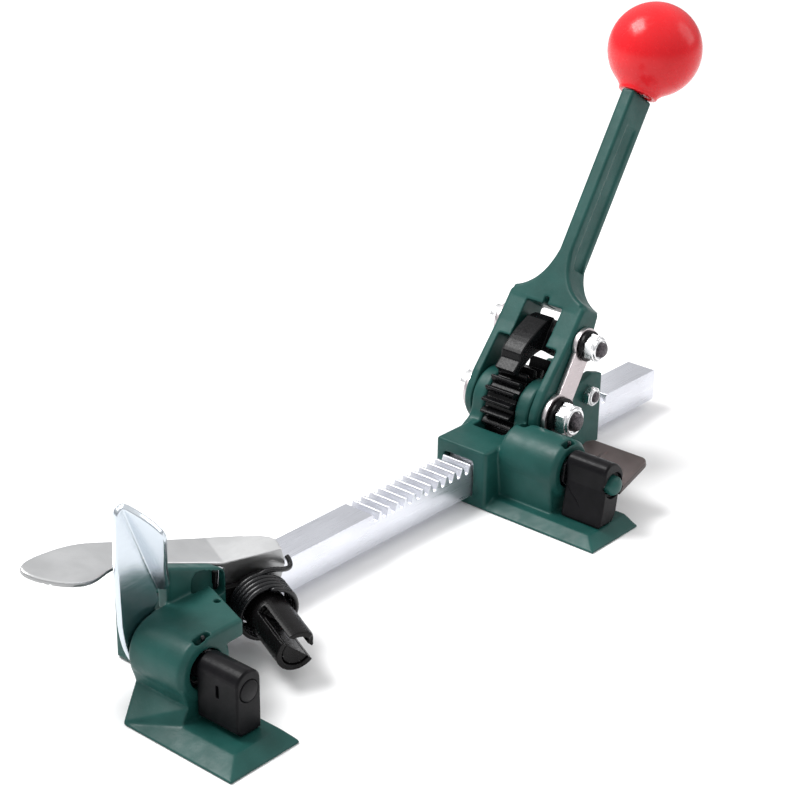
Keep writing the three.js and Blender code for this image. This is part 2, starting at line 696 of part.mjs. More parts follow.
function handleHead() {
  const side = new THREE.Shape();
  side.moveTo(0, 15.6);
  side.lineTo(8, 15.6);
  side.lineTo(38, 11.4);
  side.lineTo(HEAD.top - 2, 10);
  side.lineTo(HEAD.top, 7);
  side.lineTo(HEAD.top, -5.8);
  side.lineTo(40, -9.5);
  side.lineTo(0, -15.6);
  side.absarc(0, 0, 15.6, -Math.PI / 2, Math.PI / 2, true);
  return alongY(side, -HEAD.outer, HEAD.outer, 1.2, 20);
}

// The head narrows into the stem with hollow curves on both sides.
function handleNeck() {
  const plan = new THREE.Shape();
  plan.moveTo(HEAD.top - 6, -22);
  plan.lineTo(HEAD.top + 0.6, -22);
  plan.quadraticCurveTo(63, -6, 84, -STEM.half);
  plan.lineTo(84, STEM.half);
  plan.quadraticCurveTo(63, 7, HEAD.top + 0.6, 22.6);
  plan.lineTo(HEAD.top - 6, 22.6);
  return alongZ(plan, -8.4, STEM.depth, 1.2, 12);
}

// The stem is a bar with rounded edges that tapers slightly towards the ball.
function handleStem() {
  const { half, depth, end } = STEM;
  const edge = 1.5;
  const section = new THREE.Shape();
  section.moveTo(-half + edge, -depth);
  section.lineTo(half - edge, -depth);
  section.quadraticCurveTo(half, -depth, half, -depth + edge);
  section.lineTo(half, depth - edge);
  section.quadraticCurveTo(half, depth, half - edge, depth);
  section.lineTo(-half + edge, depth);
  section.quadraticCurveTo(-half, depth, -half, depth - edge);
  section.lineTo(-half, -depth + edge);
  section.quadraticCurveTo(-half, -depth, -half + edge, -depth);
  return alongX(section, HEAD.top + 6, end, 0.6, 4);
}

// The panel pressed into each side of the stem.
function stemPanel(side) {
  const { half, panelDepth, panelEnd } = STEM;
  const panel = outline([
    [75, -5.8],
    [panelEnd, -5.2],
    [panelEnd, 3.8],
    [75, 4],
  ]);
  const floor = half - panelDepth;
  return side > 0 ? alongY(panel, floor, half + 12) : alongY(panel, -half - 12, -floor);
}

function handleCasting() {
  const window = box(-20, HEAD.slotFoot, -HEAD.inner, HEAD.inner, -30, 30);
  const pawlSlot = box(HEAD.slotFoot - 2, 52.5, -HEAD.slot, HEAD.slot, -30, 30);
  const notch = box(52, 56.5, -1.6, 1.2, 0, 30);
  const body = cut(
    join(handleHead(), handleNeck(), handleStem()),
    window,
    pawlSlot,
    notch,
    stemPanel(1),
    stemPanel(-1),
    rodY(0, 0, 5 + FIT, -30, 30),
    rodY(HEAD.pawlPin, 0, 4 + FIT, -30, 30),
    stud(FIT, 157, 200),
  );
  return leant(body);
}

// The threaded stud that holds the ball, as a rod along the handle.
function stud(extra, from, to) {
  const radius = STEM.stud + extra;
  const geometry = new THREE.CylinderGeometry(radius, radius, to - from, 24).rotateZ(Math.PI / 2);
  return solid(geometry.translate((from + to) / 2, 0, 0));
}

function ballKnob() {
  const { centre, radius, lip } = BALL;
  const profile = [
    [0, STEM.end + 0.3],
    [lip, STEM.end + 0.3],
    [lip + 0.7, STEM.end + 1.3],
    [lip + 2.2, STEM.end + 4],
  ];
  const start = -52 * DEG;
  const steps = 14;
  for (let i = 0; i < steps; i += 1) {
    const angle = start + ((90 * DEG - start) * i) / steps;
    profile.push([radius * Math.cos(angle), centre + radius * Math.sin(angle)]);
  }
  profile.push([0, centre + radius]);
  const upright = latheZ(profile, 30).transform(new THREE.Matrix4().makeRotationY(Math.PI / 2).elements);
  return leant(cut(upright, stud(FIT, 150, 196.2)));
}

// ---------------------------------------------------------------- pawls
// Drive pawl in the handle's frame: a hub on its bolt, a shoe in front and the tooth under it.
function drivePawl() {
  const tipAngle = (113.7 * DEG) - HANDLE_LEAN;
  const tip = (radius, turn) => [radius * Math.cos(tipAngle + turn), radius * Math.sin(tipAngle + turn)];
  const shoe = new THREE.Shape();
  shoe.moveTo(...tip(GEAR.tip + 0.7, -0.035));
  shoe.lineTo(...tip(GEAR.tip + 0.7, 0.035));
  shoe.lineTo(...tip(GEAR.tip + 6, 0.1));
  shoe.lineTo(18.6, 21);
  shoe.lineTo(22, 22.6);
  shoe.quadraticCurveTo(30, 21.6, 44, 11.6);
  shoe.lineTo(47.5, 6);
  shoe.lineTo(44, -3);
  shoe.lineTo(33, -1);
  shoe.quadraticCurveTo(27, 12, 17.5, 15.4);
  shoe.lineTo(...tip(GEAR.tip + 3.9, -0.09));
  const toe = alongY(shoe, -6.4, 6.4, 0.5, 8);
  const { left, right, near, far, back, front } = PAWL_SHOULDER;
  const shoulder = box(left, right, near, far, back, front);
  const hub = join(
    shoulder,
    rodY(HEAD.pawlPin, 0, 7.4, -11.2, 6.4, 24),
    rodY(HEAD.pawlPin, 0, PAWL_SPRING.core, -11.2, 11.2, 24),
  );
  return leant(cut(join(toe, hub), rodY(HEAD.pawlPin, 0, 4 + FIT, -20, 20)));
}

// Holding pawl behind the gear, lying between the rear walls of the carriage.
function holdingPawl() {
  const tipAngle = 36.6 * DEG;
  const at = (radius, turn) => {
    const angle = tipAngle + turn;
    return [GEAR.x + radius * Math.cos(angle), GEAR.z + radius * Math.sin(angle)];
  };
  const { x, z } = HOLDING;
  const blade = new THREE.Shape();
  blade.moveTo(...at(GEAR.tip + 0.8, 0.03));
  blade.lineTo(...at(GEAR.tip + 0.8, -0.05));
  blade.lineTo(...at(GEAR.tip + 4.5, -0.17));
  blade.lineTo(x - 8, z + 0.5);
  blade.lineTo(x - 2, z - 5);
  blade.lineTo(x + 4, z + 3);
  blade.lineTo(x - 4, z + 7.5);
  blade.lineTo(...at(GEAR.tip + 7, 0.16));
  const body = join(alongY(blade, -6.5, 6.5, 0.4), rodY(x, z, 5.6, -9.2, 9.2, 24));
  return cut(body, rodY(x, z, HOLDING.bolt + FIT, -12, 12));
}

// Torsion spring beside the drive pawl on its hub, with both legs towards the gear.
function pawlSpring(radius, thick, y0, y1, turns, legLength) {
  const steps = 16;
  const coil = wire(new CoilY(radius, y0, y1, turns, -Math.PI / 2), thick, steps * turns);
  const first = rodX(-legLength, 0.4, y0, -radius, thick);
  const last = rodX(-legLength, 0.4, y1, -radius, thick);
  return join(coil, first, last);
}

// ---------------------------------------------------------------- links, bolts, nuts and washers
function linkPlate(y0, y1) {
  const plate = join(
    rodY(0, 0, 12.4, y0, y1, 40),
    rodY(HEAD.pawlPin, 0, 9.2, y0, y1, 32),
    box(0, HEAD.pawlPin, y0, y1, -6.6, 6.6),
  );
  return leant(cut(plate, rodY(0, 0, 5 + FIT, -40, 40), rodY(HEAD.pawlPin, 0, 4 + FIT, -40, 40)));
}

// A bolt along Y: its head beyond y = head, its shank down to y = end.
function boltY(x, z, radius, acrossFlats, headThickness, head, end) {
  const shank = rodY(x, z, radius, end, head + 0.5, 24);
  return join(shank, hexY(x, z, acrossFlats, head, head + headThickness, 1));
}

// A lock nut: a hexagon with a round collar at its near end.
function nutY(x, z, radius, acrossFlats, y0, y1) {
  const collar = 0.28 * (y1 - y0);
  const hexagon = hexY(x, z, acrossFlats, y0 + collar, y1, -1);
  const ring = rodY(x, z, acrossFlats / 2 - 0.5, y0, y1 - 1, 32);
  return cut(join(hexagon, ring), rodY(x, z, radius + 0.1, y0 - 1, y1 + 1, 24));
}

const pawlBoltAt = new THREE.Vector3(HEAD.pawlPin, 0, 0).applyMatrix4(lean);

// ---------------------------------------------------------------- cutter, in its own frame
function cutterSleeve() {
  const { length, outer, bore, split } = CUTTER;
  const tube = tubeY(0, 0, outer, bore, -length, BRACKET.far, 40);
  const plate = join(
    rodY(0, 0, 12.6, BRACKET.near, BRACKET.far, 40),
    box(BRACKET.left, 0, BRACKET.near, BRACKET.far, -BRACKET.half, BRACKET.half),
  );
  const turn = new THREE.Matrix4().makeRotationY(-split).elements;
  const slot = box(-14, 14, -length - 1, -20.5, 0, 3.8).transform(turn);
  const bite = rodZ(6.5, -length - 1.5, 6, 0, 14, 32).transform(turn);
  const body = cut(join(tube, plate), slot, bite);
  return cut(
    body,
    rodY(0, 0, bore, -length - 2, 2, 40),
    rodZ(BRACKET_PIN.x, BRACKET_PIN.y, BRACKET_PIN.radius + FIT, -20, 20),
  );
}

// Half-round core that turns with the lever, riveted over behind the lever's hub.
function cutterCore() {
  const { length, bore, split } = CUTTER;
  const round = rodY(0, 0, bore - 0.6, -length + 0.6, -0.4, 40);
  const half = box(-14, 14, -length - 1, -20.5, 0.1, 14).transform(new THREE.Matrix4().makeRotationY(-split).elements);
  const neck = rodY(0, 0, 5, -0.5, LEVER.sheet + 0.5, 24);
  const rivet = rodY(0, 0, 6.6, LEVER.sheet + 0.3, LEVER.sheet + 1.8, 24);
  return join(cut(round, half), neck, rivet);
}

function leverHub() {
  const { hub, top, bend, sheet } = LEVER;
  const face = new THREE.Shape();
  face.moveTo(bend, top);
  face.lineTo(13, top);
  face.lineTo(15.4, 12);
  face.lineTo(hub, 0);
  face.absarc(0, 0, hub, 0, -Math.PI, true);
  face.lineTo(bend, 12);
  const web = cut(alongY(face, 0, sheet, 0, 24), rodY(0, 0, 5 + FIT, -1, sheet + 1));
  const shelfPlan = new THREE.Shape();
  shelfPlan.moveTo(bend - 1, 0);
  shelfPlan.lineTo(13, 0);
  shelfPlan.lineTo(13.8, 6);
  shelfPlan.quadraticCurveTo(13.4, 10.4, 8, 12.6);
  shelfPlan.quadraticCurveTo(-4, 17.6, bend - 1, LEVER.width);
  return join(web, alongZ(shelfPlan, top - sheet, top, 0, 8));
}

// The paddle: a long arm that widens and bellies towards the strap side, with a rounded tip.
function leverPaddle() {
  const { width, sheet, top, bend, rise } = LEVER;
  const plan = new THREE.Shape();
  plan.moveTo(1.5, 0);
  plan.lineTo(-44, -0.2);
  plan.bezierCurveTo(-60, -0.6, -62, -15.4, -77.5, -15.4);
  plan.bezierCurveTo(-86, -15.4, -97.2, -10.4, -97.2, -4.6);
  plan.bezierCurveTo(-97.2, 0.4, -88, 5.4, -80, 9.2);
  plan.bezierCurveTo(-71, 13.6, -64, 16.2, -52, 16.6);
  plan.lineTo(-15, width - 1.4);
  plan.lineTo(1.5, width);
  const blade = alongZ(plan, -sheet, 0, 0.5, 8);
  const tilt = new THREE.Matrix4()
    .makeTranslation(bend, 0, top)
    .multiply(new THREE.Matrix4().makeRotationY(rise));
  return blade.transform(tilt.elements);
}

const cutterLever = () => join(leverHub(), leverPaddle());

function cutterSpring() {
  const thick = 1.2;
  const radius = 13.4;
  const turns = 5;
  const coil = wire(new CoilY(radius, -17.2, -5, -turns, Math.PI / 2), thick, 14 * turns);
  const leg = wire(
    new THREE.CatmullRomCurve3([
      new THREE.Vector3(-0.4, -5, radius),
      new THREE.Vector3(4, -4.9, 14.5),
      new THREE.Vector3(8, -4.9, 14.2),
      new THREE.Vector3(12, -4.6, 12.9),
      new THREE.Vector3(15.4, -3, 11.6),
      new THREE.Vector3(17.2, -1.2, 11.6),
      new THREE.Vector3(17.6, 1, 12.8),
      new THREE.Vector3(17.3, 3.2, 13.6),
    ]),
    thick,
    16,
  );
  return join(coil, leg);
}

// ---------------------------------------------------------------- assembly
place(tool, "rack_bar", rackBar(), bright);
place(tool, "foot_casting", fixedFoot(), paint);
place(tool, "bar_lock_pin", rodZ(LOCK_PIN.x, 0, LOCK_PIN.radius, 1, SOCKET.top - 0.3), blackened);
place(tool, "fixed_gripper", fixedGripper(), gripSteel);
place(tool, "fixed_gripper_shaft", gripperShaft(0, -77.8, -15.4, 0), gripSteel);
place(tool, "thumb_lever", thumbLever(), zinc);
place(tool, "fixed_gripper_spring", gripperSpring(0, FOOT.near), springSteel);

place(tool, "carriage_casting", carriageCasting(), paint);
place(tool, "carriage_gripper", carriageGripper(), gripSteel);
place(tool, "carriage_gripper_pin", gripperShaft(CARRIAGE_SHAFT_X, -80, -20.4, 3), paint);
place(tool, "release_lever", releaseLever(), zinc);
place(tool, "carriage_gripper_spring", gripperSpring(CARRIAGE_SHAFT_X, BOSS_END.near), springSteel);

place(tool, "drive_gear", driveGear(), blackened);
place(tool, "gear_bush", tubeY(GEAR.x, GEAR.z, BUSH.outer, BUSH.inner, -9.6, 9.6), bright);
place(tool, "gear_bolt", boltY(GEAR.x, GEAR.z, 5, 16, 6.4, 27.4, -40), bright);
place(tool, "gear_nut", nutY(GEAR.x, GEAR.z, 5, 16, -37.8, -29.8), bright);
place(tool, "gear_washer", tubeY(GEAR.x, GEAR.z, 10.4, 5 + FIT, -29.6, -27.4), blackened);

place(tool, "handle_casting", handleCasting(), paint);
place(tool, "handle_stud", leant(stud(0, 158, 196)), blackened);
place(tool, "ball_knob", ballKnob(), redPlastic);
place(tool, "link_plate_near", linkPlate(-27.1, -24.5), zinc);
place(tool, "link_plate_far", linkPlate(24.5, 27.1), zinc);
place(tool, "drive_pawl", drivePawl(), blackened);
const { radius: pawlCoil, wire: pawlWire, near: pawlNear, far: pawlFar, turns: pawlTurns, leg } = PAWL_SPRING;
const pawlSpringAt = (body) => leant(body.translate([HEAD.pawlPin, 0, 0]));
place(
  tool,
  "drive_pawl_spring",
  pawlSpringAt(pawlSpring(pawlCoil, pawlWire, pawlNear, pawlFar, pawlTurns, leg)),
  springSteel,
);
place(tool, "pawl_bolt", boltY(pawlBoltAt.x, pawlBoltAt.z, 4, 13, 5.3, 27.4, -38.4), bright);
place(tool, "pawl_nut", nutY(pawlBoltAt.x, pawlBoltAt.z, 4, 13, -36.4, -29.8), bright);
place(tool, "pawl_washer", tubeY(pawlBoltAt.x, pawlBoltAt.z, 8.2, 4 + FIT, -29.6, -27.4), blackened);

place(tool, "holding_pawl", holdingPawl(), blackened);
const { wallFace } = HOLDING;
place(tool, "holding_bolt", boltY(HOLDING.x, HOLDING.z, HOLDING.bolt, 10, 4, wallFace, -wallFace - 5.8), bright);
place(tool, "holding_nut", nutY(HOLDING.x, HOLDING.z, HOLDING.bolt, 10, -wallFace - 5, -wallFace), bright);

const cutter = new THREE.Group();
cutter.position.set(CUTTER.x, CUTTER.y, CUTTER.z);
cutter.rotation.set(CUTTER.dip, 0, CUTTER.yaw, "ZXY");
tool.add(cutter);
place(cutter, "cutter_sleeve", cutterSleeve(), blackened);
place(cutter, "cutter_bracket_pin", rodZ(BRACKET_PIN.x, BRACKET_PIN.y, BRACKET_PIN.radius, -16, 20), blackened);
place(cutter, "cutter_core", cutterCore(), blackened);
place(cutter, "cutter_lever", cutterLever(), zinc);
place(cutter, "cutter_spring", cutterSpring(), springSteel);

export default tool;
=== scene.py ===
"""Looks of the rack-bar strapping tensioner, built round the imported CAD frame.

Dimensions are in millimetres and count x from the fixed gripper's shaft, as the CAD source does;
point() turns them into the frame's metres. Castings and forged or pressed parts get their fillets
from a fine remesh of the CAD solid, machined parts get bevels, and fasteners, springs and the ball
are made here from their own formulas.
"""
import json
import math

import bmesh
import bpy
import numpy as np
from mathutils import Matrix, Vector

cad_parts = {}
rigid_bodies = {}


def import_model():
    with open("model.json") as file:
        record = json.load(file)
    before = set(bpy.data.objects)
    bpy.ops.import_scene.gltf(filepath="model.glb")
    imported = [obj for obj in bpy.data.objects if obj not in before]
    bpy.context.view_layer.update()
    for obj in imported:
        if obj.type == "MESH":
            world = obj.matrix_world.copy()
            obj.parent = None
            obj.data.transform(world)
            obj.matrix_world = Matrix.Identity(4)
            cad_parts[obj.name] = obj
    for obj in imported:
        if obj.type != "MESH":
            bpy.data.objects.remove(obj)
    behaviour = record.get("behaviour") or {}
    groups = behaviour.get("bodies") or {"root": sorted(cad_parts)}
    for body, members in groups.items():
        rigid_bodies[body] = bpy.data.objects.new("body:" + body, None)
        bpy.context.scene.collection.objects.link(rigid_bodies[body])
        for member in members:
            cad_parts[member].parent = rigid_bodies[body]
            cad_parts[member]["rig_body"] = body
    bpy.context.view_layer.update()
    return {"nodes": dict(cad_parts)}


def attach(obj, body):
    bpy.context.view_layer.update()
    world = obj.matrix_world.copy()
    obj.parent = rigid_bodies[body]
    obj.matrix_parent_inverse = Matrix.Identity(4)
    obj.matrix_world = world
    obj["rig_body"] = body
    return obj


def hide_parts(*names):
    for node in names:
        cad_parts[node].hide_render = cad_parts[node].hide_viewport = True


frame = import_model()

MM = 0.001
ORIGIN_X = 15  # the frame's origin, counted from the fixed gripper's shaft
TAU = 2 * math.pi

GEAR_AT = (277.3, 39.4)  # gear bolt in (x, z)
HANDLE_LEAN = math.radians(57.4)
PAWL_PIN = 39.5  # pawl bolt, along the handle from the gear bolt
HOLDING_AT = (320, 34)
SHAFT_Z = 26.3
CARRIAGE_SHAFT_X = 253.2
RELEASE_DISC = 13  # radius of the release lever's disc round its shaft
BALL = {"centre": 199.6, "radius": 25, "foot": 173.8, "lip": 10.6}
CUTTER_AT = (62.15, -18.1, 22.7)
CUTTER_YAW = math.radians(-20)
CUTTER_DIP = math.radians(8)


# ---------------------------------------------------------------- places
def point(x, y, z):
    """A point of the tool, in millimetres from the fixed gripper's shaft, in the frame's metres."""
    return Vector(((x - ORIGIN_X) * MM, y * MM, z * MM))


def along_handle(a, b):
    """(x, z) of a point a along the handle and b in front of it."""
    x = GEAR_AT[0] + a * math.cos(HANDLE_LEAN) - b * math.sin(HANDLE_LEAN)
    return x, GEAR_AT[1] + a * math.sin(HANDLE_LEAN) + b * math.cos(HANDLE_LEAN)


def axis_matrix(origin, axis):
    """A frame whose Z runs along axis from origin; x and z of the part's own frame stay upright."""
    z = Vector(axis).normalized()
    x = Vector((1, 0, 0)) if abs(z.x) < 0.9 else Vector((0, 1, 0))
    y = z.cross(x).normalized()
    x = y.cross(z)
    turn = Matrix((x, y, z)).transposed().to_4x4()
    turn.translation = origin
    return turn


def cutter_matrix():
    turn = Matrix.Rotation(CUTTER_YAW, 4, "Z") @ Matrix.Rotation(CUTTER_DIP, 4, "X")
    turn.translation = point(*CUTTER_AT)
    return turn


# ---------------------------------------------------------------- meshes
def add_piece(name, mesh, body, nodes):
    """A finished mesh as a piece that rides on a body and stands for CAD nodes."""
    piece = bpy.data.objects.new(name, mesh)
    bpy.context.scene.collection.objects.link(piece)
    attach(piece, body)
    if nodes:
        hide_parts(*nodes)
    return piece


def body_of(node):
    return frame["nodes"][node]["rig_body"]


def welded_copy(node):
    """The CAD node's solid as a new mesh, its corners joined and its flat faces merged."""
    mesh = bpy.data.meshes.new(node + "_mesh")
    solid = bmesh.new()
    solid.from_mesh(frame["nodes"][node].data)
    bmesh.ops.remove_doubles(solid, verts=solid.verts, dist=2e-6)
    bmesh.ops.dissolve_limit(
        solid,
        angle_limit=math.radians(0.4),
        verts=solid.verts,
        edges=solid.edges,
    )
    for face in solid.faces:
        face.smooth = True
    solid.to_mesh(mesh)
    solid.free()
    return mesh


def with_modifiers(mesh, add):
    """The mesh after the modifiers that add(object) puts on it."""
    holder = bpy.data.objects.new("holder", mesh)
    bpy.context.scene.collection.objects.link(holder)
    add(holder)
    graph = bpy.context.evaluated_depsgraph_get()
    done = bpy.data.meshes.new_from_object(holder.evaluated_get(graph))
    bpy.data.objects.remove(holder)
    return done


def filleted(node, voxel, passes, factor=0.5):
    """The CAD solid as one fine skin with all its edges and corners rounded, as on a casting."""

    def add(holder):
        remesh = holder.modifiers.new("skin", "REMESH")
        remesh.mode = "VOXEL"
        remesh.voxel_size = voxel * MM
        remesh.use_smooth_shade = True
        smooth = holder.modifiers.new("fillet", "SMOOTH")
        smooth.factor = factor
        smooth.iterations = passes

    return with_modifiers(welded_copy(node), add)


def bevelled(node, width, angle=30, segments=3):
    """The CAD solid with its edges broken, as on a machined part."""

    def add(holder):
        bevel = holder.modifiers.new("edges", "BEVEL")
        bevel.width = width * MM
        bevel.segments = segments
        bevel.limit_method = "ANGLE"
        bevel.angle_limit = math.radians(angle)
        bevel.harden_normals = True

    return with_modifiers(welded_copy(node), add)


def grid_mesh(name, rows, closed_rows=False):
    """A mesh over rows of points, each closed on itself.

    Both end rows get caps, unless closed_rows joins the last row to the first."""
    count = len(rows)
    around = len(rows[0])
    vertices = [tuple(corner) for row in rows for corner in row]
    faces = []
    for i in range(count if closed_rows else count - 1):
        near = i * around
        far = ((i + 1) % count) * around
        for j in range(around):
            k = (j + 1) % around
            faces.append((near + j, near + k, far + k, far + j))
    if not closed_rows:
        faces.append(tuple(reversed(range(around))))
        faces.append(tuple((count - 1) * around + j for j in range(around)))
    mesh = bpy.data.meshes.new(name)
    mesh.from_pydata(vertices, [], faces)
    mesh.validate()
    solid = bmesh.new()
    solid.from_mesh(mesh)
    bmesh.ops.recalc_face_normals(solid, faces=solid.faces)
    for face in solid.faces:
        face.smooth = len(face.verts) == 4
    solid.to_mesh(mesh)
    solid.free()
    return mesh


def turned(profile, around=64, outline=None):
    """Rows of a turned part about Z from (radius, height) points; outline(angle) can limit the radius."""
    rows = []
    for radius, height in profile:
        row = []
        for i in range(around):
            angle = TAU * i / around
            reach = radius if outline is None else min(radius, outline(angle))
            row.append(Vector((reach * math.cos(angle), reach * math.sin(angle), height)))
        rows.append(row)
    return rows


def placed(rows, matrix):
    """Rows in millimetres, scaled to metres and moved by a matrix in metres."""
    return [[matrix @ (corner * MM) for corner in row] for row in rows]


def joined(name, meshes):
    """Several meshes as one mesh."""
    solid = bmesh.new()
    for mesh in meshes:
        solid.from_mesh(mesh)
    whole = bpy.data.meshes.new(name)
    solid.to_mesh(whole)
    solid.free()
    return whole


def wire_mesh(name, path, radius, sides=12):
    """A round wire through the path's points, in metres, with rounded ends."""
    count = len(path)
    tangents = []
    for i in range(count):
        step = path[min(i + 1, count - 1)] - path[max(i - 1, 0)]
        tangents.append(step.normalized())
    side = tangents[0].orthogonal().normalized()
    rows = []
    for i, (centre, tangent) in enumerate(zip(path, tangents)):
        side = (side - tangent * side.dot(tangent)).normalized()
        other = tangent.cross(side)
        reach = radius * MM * (0.6 if i in (0, count - 1) else 1)
        ring = [
            centre + reach * (math.cos(TAU * j / sides) * side + math.sin(TAU * j / sides) * other)
            for j in range(sides)
        ]
        rows.append(ring)
    return grid_mesh(name, rows)


# ---------------------------------------------------------------- node materials
class Finish:
    """A procedural material: a principled shader and short calls for the nodes that drive it."""

    def __init__(self, name, color, roughness, metallic=0.0, coat=0.0, shine=0.5):
        self.material = bpy.data.materials.new(name)
        self.material.use_nodes = True
        self.tree = self.material.node_tree
        self.shader = self.tree.nodes["Principled BSDF"]
        self.set("Base Color", (*color, 1))
        self.set("Roughness", roughness)
        self.set("Metallic", metallic)
        self.set("Coat Weight", coat)
        self.set("Specular IOR Level", shine)
        self.coordinates = self.tree.nodes.new("ShaderNodeTexCoord").outputs["Object"]

    def set(self, name, value):
        self.shader.inputs[name].default_value = value

    def link(self, output, name):
        self.tree.links.new(output, self.shader.inputs[name])

    def stretched(self, scale):
        mapping = self.tree.nodes.new("ShaderNodeMapping")
        mapping.inputs["Scale"].default_value = scale
        self.tree.links.new(self.coordinates, mapping.inputs["Vector"])
        return mapping.outputs["Vector"]

    def noise(self, size, detail=3.0, stretch=(1, 1, 1)):
        """Noise whose grain is about size millimetres, between 0 and 1."""
        node = self.tree.nodes.new("ShaderNodeTexNoise")
        node.inputs["Scale"].default_value = 1 / (size * MM)
        node.inputs["Detail"].default_value = detail
        self.tree.links.new(self.stretched(stretch), node.inputs["Vector"])
        return node.outputs["Fac"]

    def ramp(self, value, low, high, start=0.0, end=1.0):
        """The value, mapped from low..high to start..end and held at both ends."""
        node = self.tree.nodes.new("ShaderNodeMapRange")
        self.tree.links.new(value, node.inputs["Value"])
        node.inputs["From Min"].default_value = low
        node.inputs["From Max"].default_value = high
        node.inputs["To Min"].default_value = start
        node.inputs["To Max"].default_value = end
        return node.outputs["Result"]

    def maths(self, operation, first, second):
        node = self.tree.nodes.new("ShaderNodeMath")
        node.operation = operation
        for socket, value in zip(node.inputs, (first, second)):
            if isinstance(value, (int, float)):
                socket.default_value = value
            else:
                self.tree.links.new(value, socket)
        return node.outputs[0]

    def mix(self, share, first, second):
        """The first colour where share is 0 and the second where it is 1."""
        node = self.tree.nodes.new("ShaderNodeMix")
        node.data_type = "RGBA"
        self.tree.links.new(share, node.inputs["Factor"])
        for name, value in (("A", first), ("B", second)):
            socket = next(s for s in node.inputs if s.name == name and s.type == "RGBA")
            if isinstance(value, tuple):
                socket.default_value = (*value, 1)
            else:
                self.tree.links.new(value, socket)
        return next(s for s in node.outputs if s.type == "RGBA")

    def edges(self, low, high):
        """1 on sharp outer edges and 0 on flat faces, on a finely meshed piece."""
        pointiness = self.tree.nodes.new("ShaderNodeNewGeometry").outputs["Pointiness"]
        return self.ramp(pointiness, low, high)

    def facing(self, axis):
        """How far the surface faces along an axis of the frame, -1 to 1."""
        normal = self.tree.nodes.new("ShaderNodeNewGeometry").outputs["Normal"]
        dot = self.tree.nodes.new("ShaderNodeVectorMath")
        dot.operation = "DOT_PRODUCT"
        self.tree.links.new(normal, dot.inputs[0])
        dot.inputs[1].default_value = axis
        return dot.outputs["Value"]

    def bumps(self, *layers):
        """Relief from (height, depth in millimetres) pairs, one on top of the other."""
        normal = None
        for height, depth in layers:
            node = self.tree.nodes.new("ShaderNodeBump")
            node.inputs["Distance"].default_value = depth * MM
            node.inputs["Strength"].default_value = 1
            self.tree.links.new(height, node.inputs["Height"])
            if normal is not None:
                self.tree.links.new(normal, node.inputs["Normal"])
            normal = node.outputs["Normal"]
        self.link(normal, "Normal")


def cast_paint():
    """Satin green enamel on a cast skin: fine grain, light specks, and paler rubbed edges."""
    finish = Finish("cast_paint", (0.010, 0.064, 0.056), 0.45, shine=0.25)
    broad = finish.ramp(finish.noise(22, 3), 0.35, 0.65)
    body = finish.mix(broad, (0.0070, 0.054, 0.047), (0.0125, 0.074, 0.065))
    grain = finish.noise(0.55, 2)
    specks = finish.ramp(grain, 0.70, 0.78, 0, 0.35)
    body = finish.mix(specks, body, (0.09, 0.23, 0.20))
    patches = finish.ramp(finish.noise(9, 4), 0.5, 0.62)
    rubbed = finish.maths("MULTIPLY", finish.edges(0.56, 0.62), patches)
    body = finish.mix(finish.maths("MULTIPLY", rubbed, 0.55), body, (0.30, 0.46, 0.42))
    finish.link(body, "Base Color")
    finish.link(finish.ramp(finish.noise(6, 3), 0.3, 0.7, 0.34, 0.5), "Roughness")
    finish.bumps((finish.noise(5, 3), 0.09), (finish.noise(0.9, 2), 0.03))
    return finish.material


def ground_steel():
    """Bright ground bar: streaks along the bar, faint blue-grey patches."""
    finish = Finish("ground_steel", (0.56, 0.59, 0.64), 0.3, metallic=0.9)
    patches = finish.ramp(finish.noise(26, 4, (0.6, 1, 1)), 0.35, 0.7)
    finish.link(finish.mix(patches, (0.76, 0.775, 0.83), (0.66, 0.67, 0.72)), "Base Color")
    streaks = finish.noise(0.45, 3, (0.025, 1, 1))
    finish.link(finish.ramp(streaks, 0.3, 0.7, 0.24, 0.42), "Roughness")
    finish.bumps((streaks, 0.008), (finish.noise(14, 2), 0.03))
    return finish.material


def plated_sheet(name, color, dull, roughness, side):
    """Zinc-plated sheet: cloudy plate, painted shade on faces that stand upright (dimmed to side times
    the dull tone), and painted highlights on the edges.
    """
    finish = Finish(name, color, roughness, metallic=1.0)
    clouds = finish.ramp(finish.noise(18, 2), 0.36, 0.68)
    base = finish.mix(clouds, color, dull)
    fine = finish.ramp(finish.noise(1.2, 3), 0.55, 0.75, 0, 0.3)
    base = finish.mix(fine, base, tuple(c * 0.85 for c in color))
    # painted shade: faces that stand upright are darkened towards side times the dull tone, standing in
    # for the light they miss
    upright = finish.ramp(finish.facing((0, 0, 1)), 0.1, 0.7, 1, 0)
    base = finish.mix(upright, base, tuple(c * side for c in dull))
    # painted highlight: sharp edges are lightened towards near white, standing in for the light they
    # catch
    painted_edge_highlight = finish.maths("MULTIPLY", finish.edges(0.53, 0.58), 0.85)
    finish.link(finish.mix(painted_edge_highlight, base, (0.92, 0.92, 0.93)), "Base Color")
    scratches = finish.noise(0.35, 2, (0.06, 1, 0.3))
    finish.link(
        finish.ramp(scratches, 0.3, 0.75, roughness * 0.85, roughness * 1.3), "Roughness"
    )
    finish.bumps((finish.noise(14, 1), 0.06), (finish.noise(1.1, 3), 0.003))
    return finish.material


def plated_fastener():
    """Bright zinc plate on nuts and bolts, with small duller marks."""
    finish = Finish("plated_fastener", (0.80, 0.80, 0.81), 0.22, metallic=1.0)
    marks = finish.ramp(finish.noise(2.4, 2), 0.50, 0.75)
    finish.link(finish.mix(marks, (0.84, 0.84, 0.85), (0.70, 0.70, 0.71)), "Base Color")
    finish.link(finish.ramp(finish.noise(0.8, 2), 0.3, 0.7, 0.18, 0.28), "Roughness")
    finish.bumps((finish.noise(1.6, 2), 0.003))
    return finish.material


